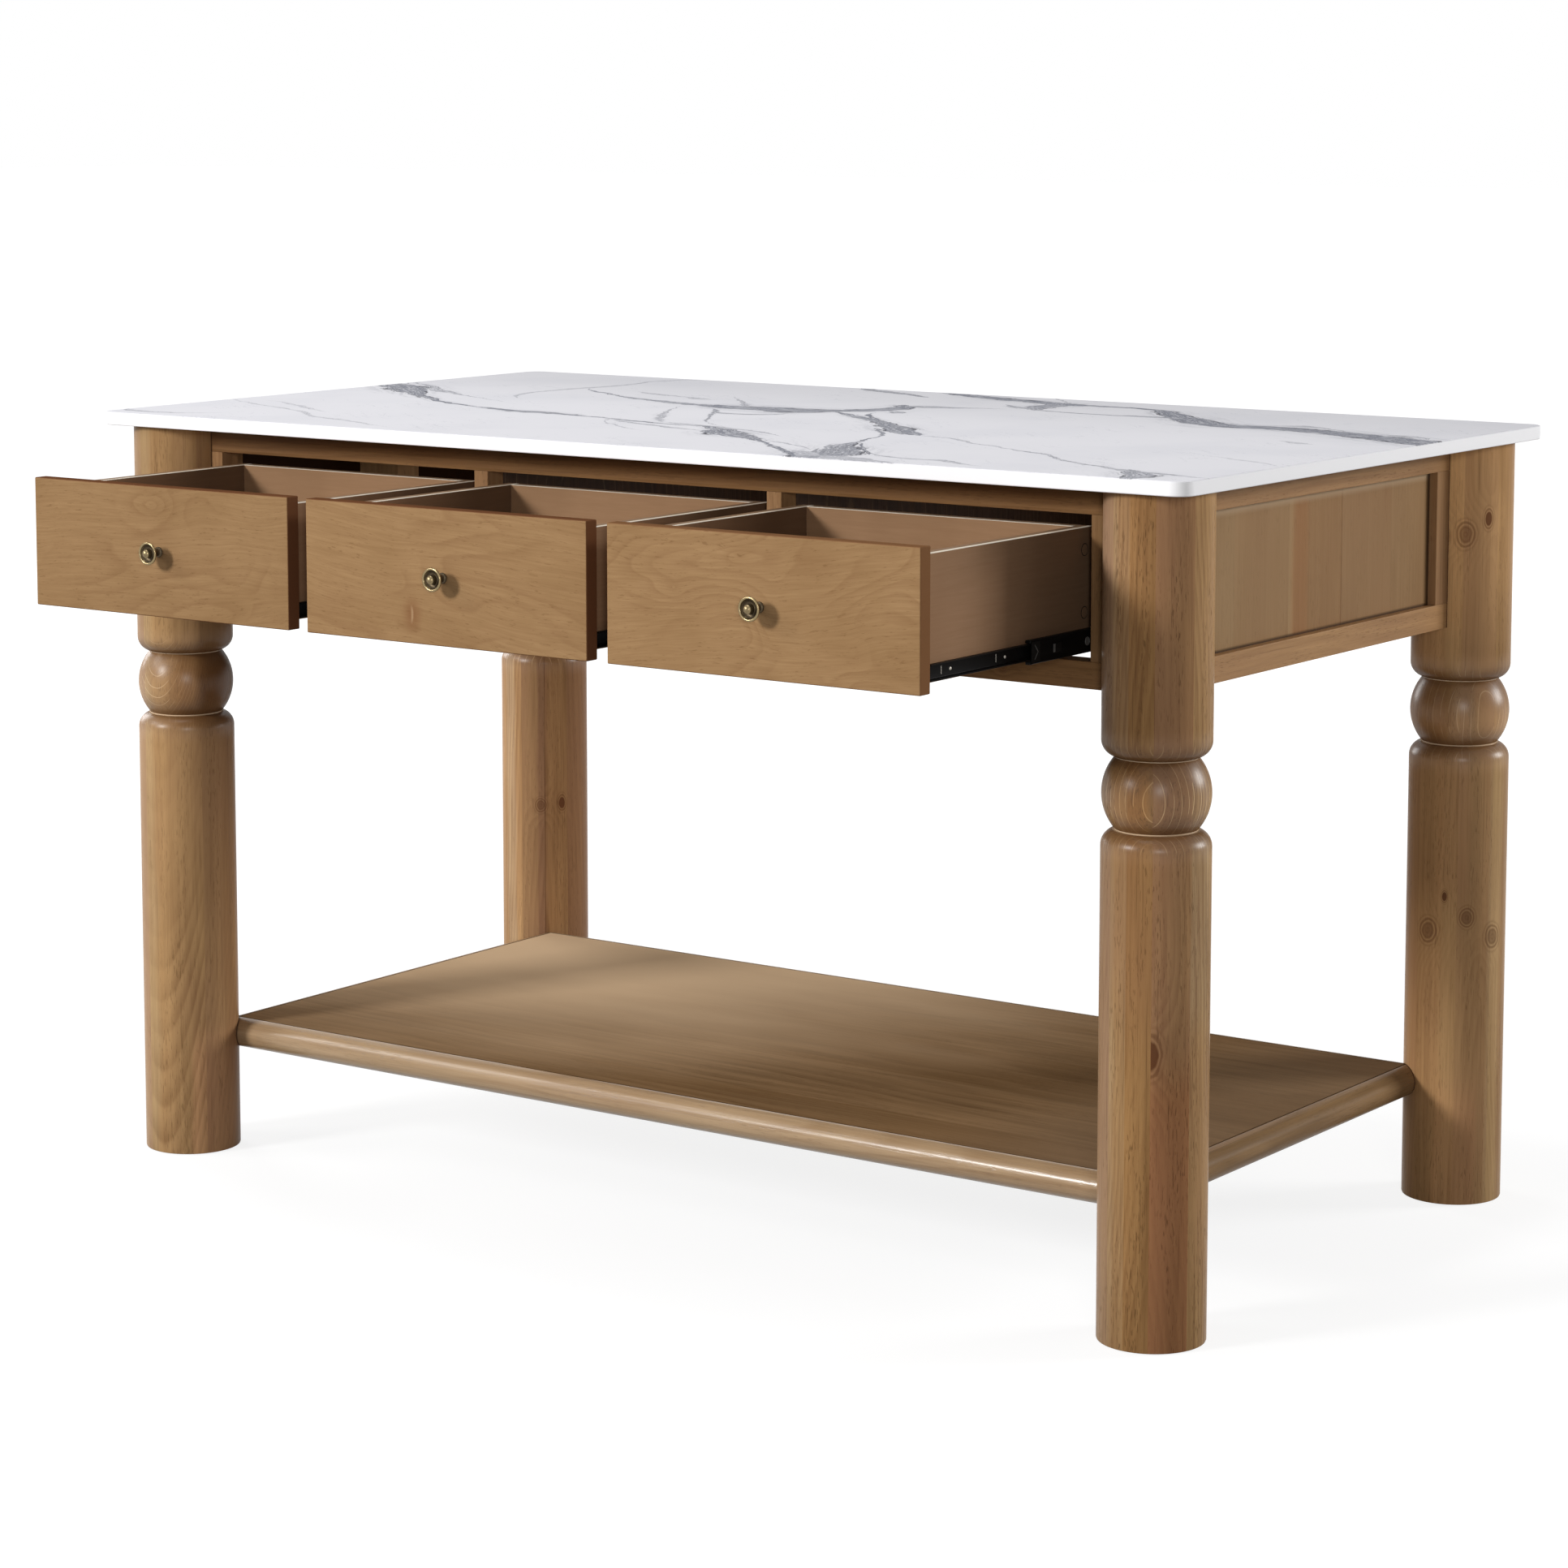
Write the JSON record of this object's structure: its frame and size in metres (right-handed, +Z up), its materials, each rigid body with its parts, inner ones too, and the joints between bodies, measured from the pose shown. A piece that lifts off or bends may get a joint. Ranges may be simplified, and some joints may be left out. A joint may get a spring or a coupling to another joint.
{
  "type": "kitchen island",
  "caption": "Kitchen island with a thin veined worktop, turned round legs, inset drawers on ball-bearing runners and an open lower shelf.",
  "frame": {"origin": "middle of the whole outline with the drawers pulled out, at floor level", "axes": "+Z up, +X along the island's length, -Y towards the side where the drawers open"},
  "size_m": [1.516, 1.1184, 0.914],
  "materials": {
    "veined_stone": "polished white stone with soft grey veins",
    "stained_wood": "satin brown stain with visible grain and staves",
    "panel_wood": "satin brown stain, glued staves",
    "carcass_wood": "dark stain, dull",
    "drawer_plywood": "smooth clear-coated plywood",
    "aged_brass": "aged, satin",
    "black_steel": "black, semi-gloss",
    "zinc_steel": "zinc plated"
  },
  "bodies": {
    "island_frame": {"worktop": "veined_stone", "leg_front_left": "stained_wood", "leg_front_right": "stained_wood", "leg_rear_left": "stained_wood", "leg_rear_right": "stained_wood", "front_top_rail": "stained_wood", "front_bottom_rail": "stained_wood", "front_end_stiles": "stained_wood", "divider_left": "stained_wood", "divider_right": "stained_wood", "left_top_rail": "stained_wood", "left_bottom_rail": "stained_wood", "left_stiles": "stained_wood", "left_panel": "panel_wood", "right_top_rail": "stained_wood", "right_bottom_rail": "stained_wood", "right_stiles": "stained_wood", "right_panel": "panel_wood", "rear_top_rail": "stained_wood", "rear_bottom_rail": "stained_wood", "rear_stiles": "stained_wood", "rear_panel": "panel_wood", "partition_left": "carcass_wood", "partition_right": "carcass_wood", "runner_posts": "carcass_wood", "leg_bolts": "zinc_steel", "shelf_panel": "panel_wood", "shelf_front_rail": "stained_wood", "shelf_rear_rail": "stained_wood", "shelf_left_rail": "stained_wood", "shelf_right_rail": "stained_wood", "left_fixed_runners": "black_steel", "middle_fixed_runners": "black_steel", "right_fixed_runners": "black_steel"},
    "left_drawer": {"left_drawer_front": "stained_wood", "left_drawer_left_side": "drawer_plywood", "left_drawer_right_side": "drawer_plywood", "left_drawer_back": "drawer_plywood", "left_drawer_bottom": "drawer_plywood", "left_drawer_knob": "aged_brass", "left_drawer_runners": "black_steel"},
    "left_middle_members": {"left_sliding_runners": "black_steel"},
    "middle_drawer": {"middle_drawer_front": "stained_wood", "middle_drawer_left_side": "drawer_plywood", "middle_drawer_right_side": "drawer_plywood", "middle_drawer_back": "drawer_plywood", "middle_drawer_bottom": "drawer_plywood", "middle_drawer_knob": "aged_brass", "middle_drawer_runners": "black_steel"},
    "middle_middle_members": {"middle_sliding_runners": "black_steel"},
    "right_drawer": {"right_drawer_front": "stained_wood", "right_drawer_left_side": "drawer_plywood", "right_drawer_right_side": "drawer_plywood", "right_drawer_back": "drawer_plywood", "right_drawer_bottom": "drawer_plywood", "right_drawer_knob": "aged_brass", "right_drawer_runners": "black_steel"},
    "right_middle_members": {"right_sliding_runners": "black_steel"}
  },
  "joints": [
    {"name": "left_drawer_slide", "type": "slide", "parent": "island_frame", "child": "left_drawer", "axis": [0, -1, 0], "range_m": [-0.3145, 0]},
    {"name": "left_runner_slide", "type": "slide", "parent": "island_frame", "child": "left_middle_members", "axis": [0, -1, 0], "range_m": [-0.15725, 0]},
    {"name": "middle_drawer_slide", "type": "slide", "parent": "island_frame", "child": "middle_drawer", "axis": [0, -1, 0], "range_m": [-0.3145, 0]},
    {"name": "middle_runner_slide", "type": "slide", "parent": "island_frame", "child": "middle_middle_members", "axis": [0, -1, 0], "range_m": [-0.15725, 0]},
    {"name": "right_drawer_slide", "type": "slide", "parent": "island_frame", "child": "right_drawer", "axis": [0, -1, 0], "range_m": [-0.3145, 0]},
    {"name": "right_runner_slide", "type": "slide", "parent": "island_frame", "child": "right_middle_members", "axis": [0, -1, 0], "range_m": [-0.15725, 0]}
  ],
  "couplings": [
    {"joint": "left_runner_slide", "follows": "left_drawer_slide", "ratio": 0.5},
    {"joint": "middle_runner_slide", "follows": "middle_drawer_slide", "ratio": 0.5},
    {"joint": "right_runner_slide", "follows": "right_drawer_slide", "ratio": 0.5}
  ]
}
